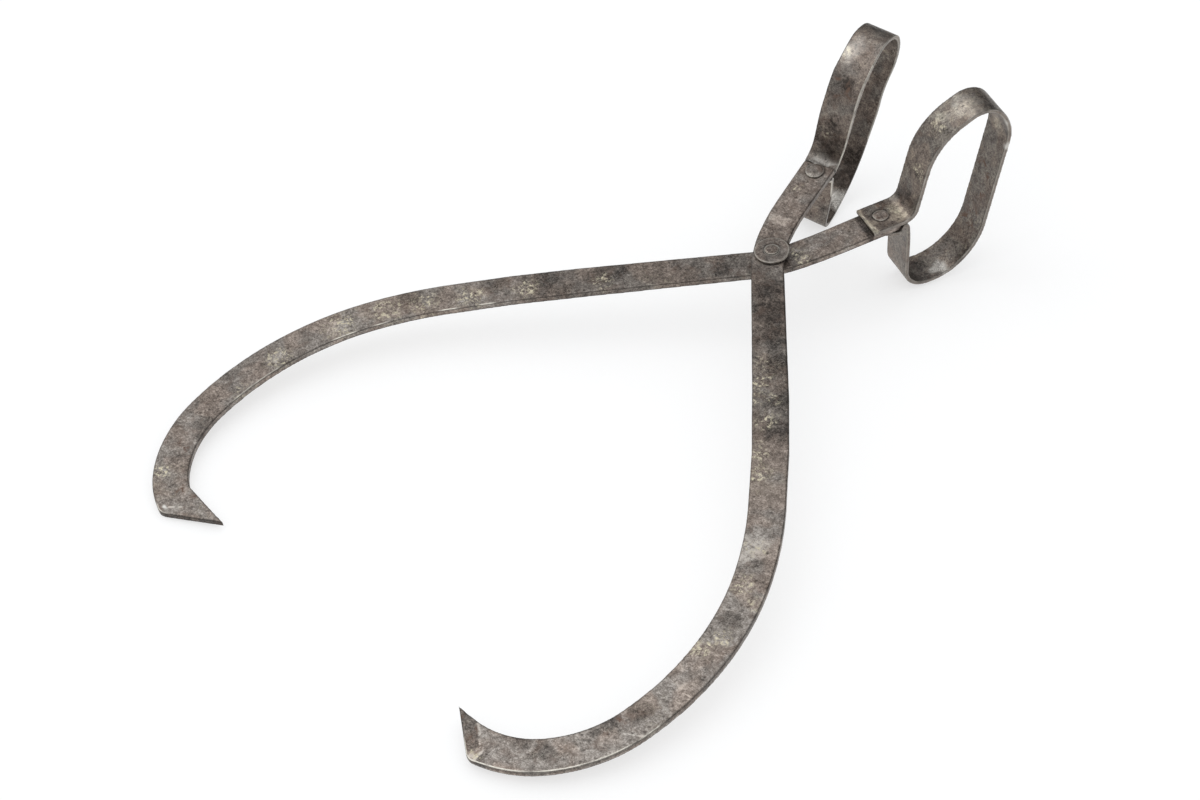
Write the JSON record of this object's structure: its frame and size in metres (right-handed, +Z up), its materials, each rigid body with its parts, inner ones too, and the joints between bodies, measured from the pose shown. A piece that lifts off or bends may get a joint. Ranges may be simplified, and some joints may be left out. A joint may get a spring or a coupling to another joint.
{
  "type": "ice tongs",
  "caption": "Hand-held ice tongs: flat curved iron arms crossing on a riveted pivot, with hooked points that grip a block and closed loops of bent strip as grips.",
  "frame": {"origin": "middle of the flat underside of the pivot rivet's lower head", "axes": "+Z up the pivot rivet towards its washer and hammered end, +Y from the pivot towards the grips, +X across the arms, towards the right grip"},
  "size_m": [0.3362, 0.4675, 0.1143],
  "materials": {
    "lower_arm_iron": "worn and mottled",
    "upper_arm_iron": "worn and mottled",
    "strip_iron": "worn and mottled",
    "rivet_iron": "hammered and worn",
    "washer_iron": "dark and worn"
  },
  "bodies": {
    "lower_half": {"lower_arm": "lower_arm_iron", "right_grip": "strip_iron", "right_grip_rivet": "rivet_iron", "pivot_rivet": "rivet_iron", "pivot_washer": "washer_iron"},
    "upper_half": {"upper_arm": "upper_arm_iron", "left_grip": "strip_iron", "left_grip_rivet": "rivet_iron"}
  },
  "joints": [
    {"name": "pivot", "type": "hinge", "parent": "lower_half", "child": "upper_half", "pos_m": [0, 0, 0.0064], "axis": [0, 0, 1], "range_deg": [-23, 85]}
  ]
}
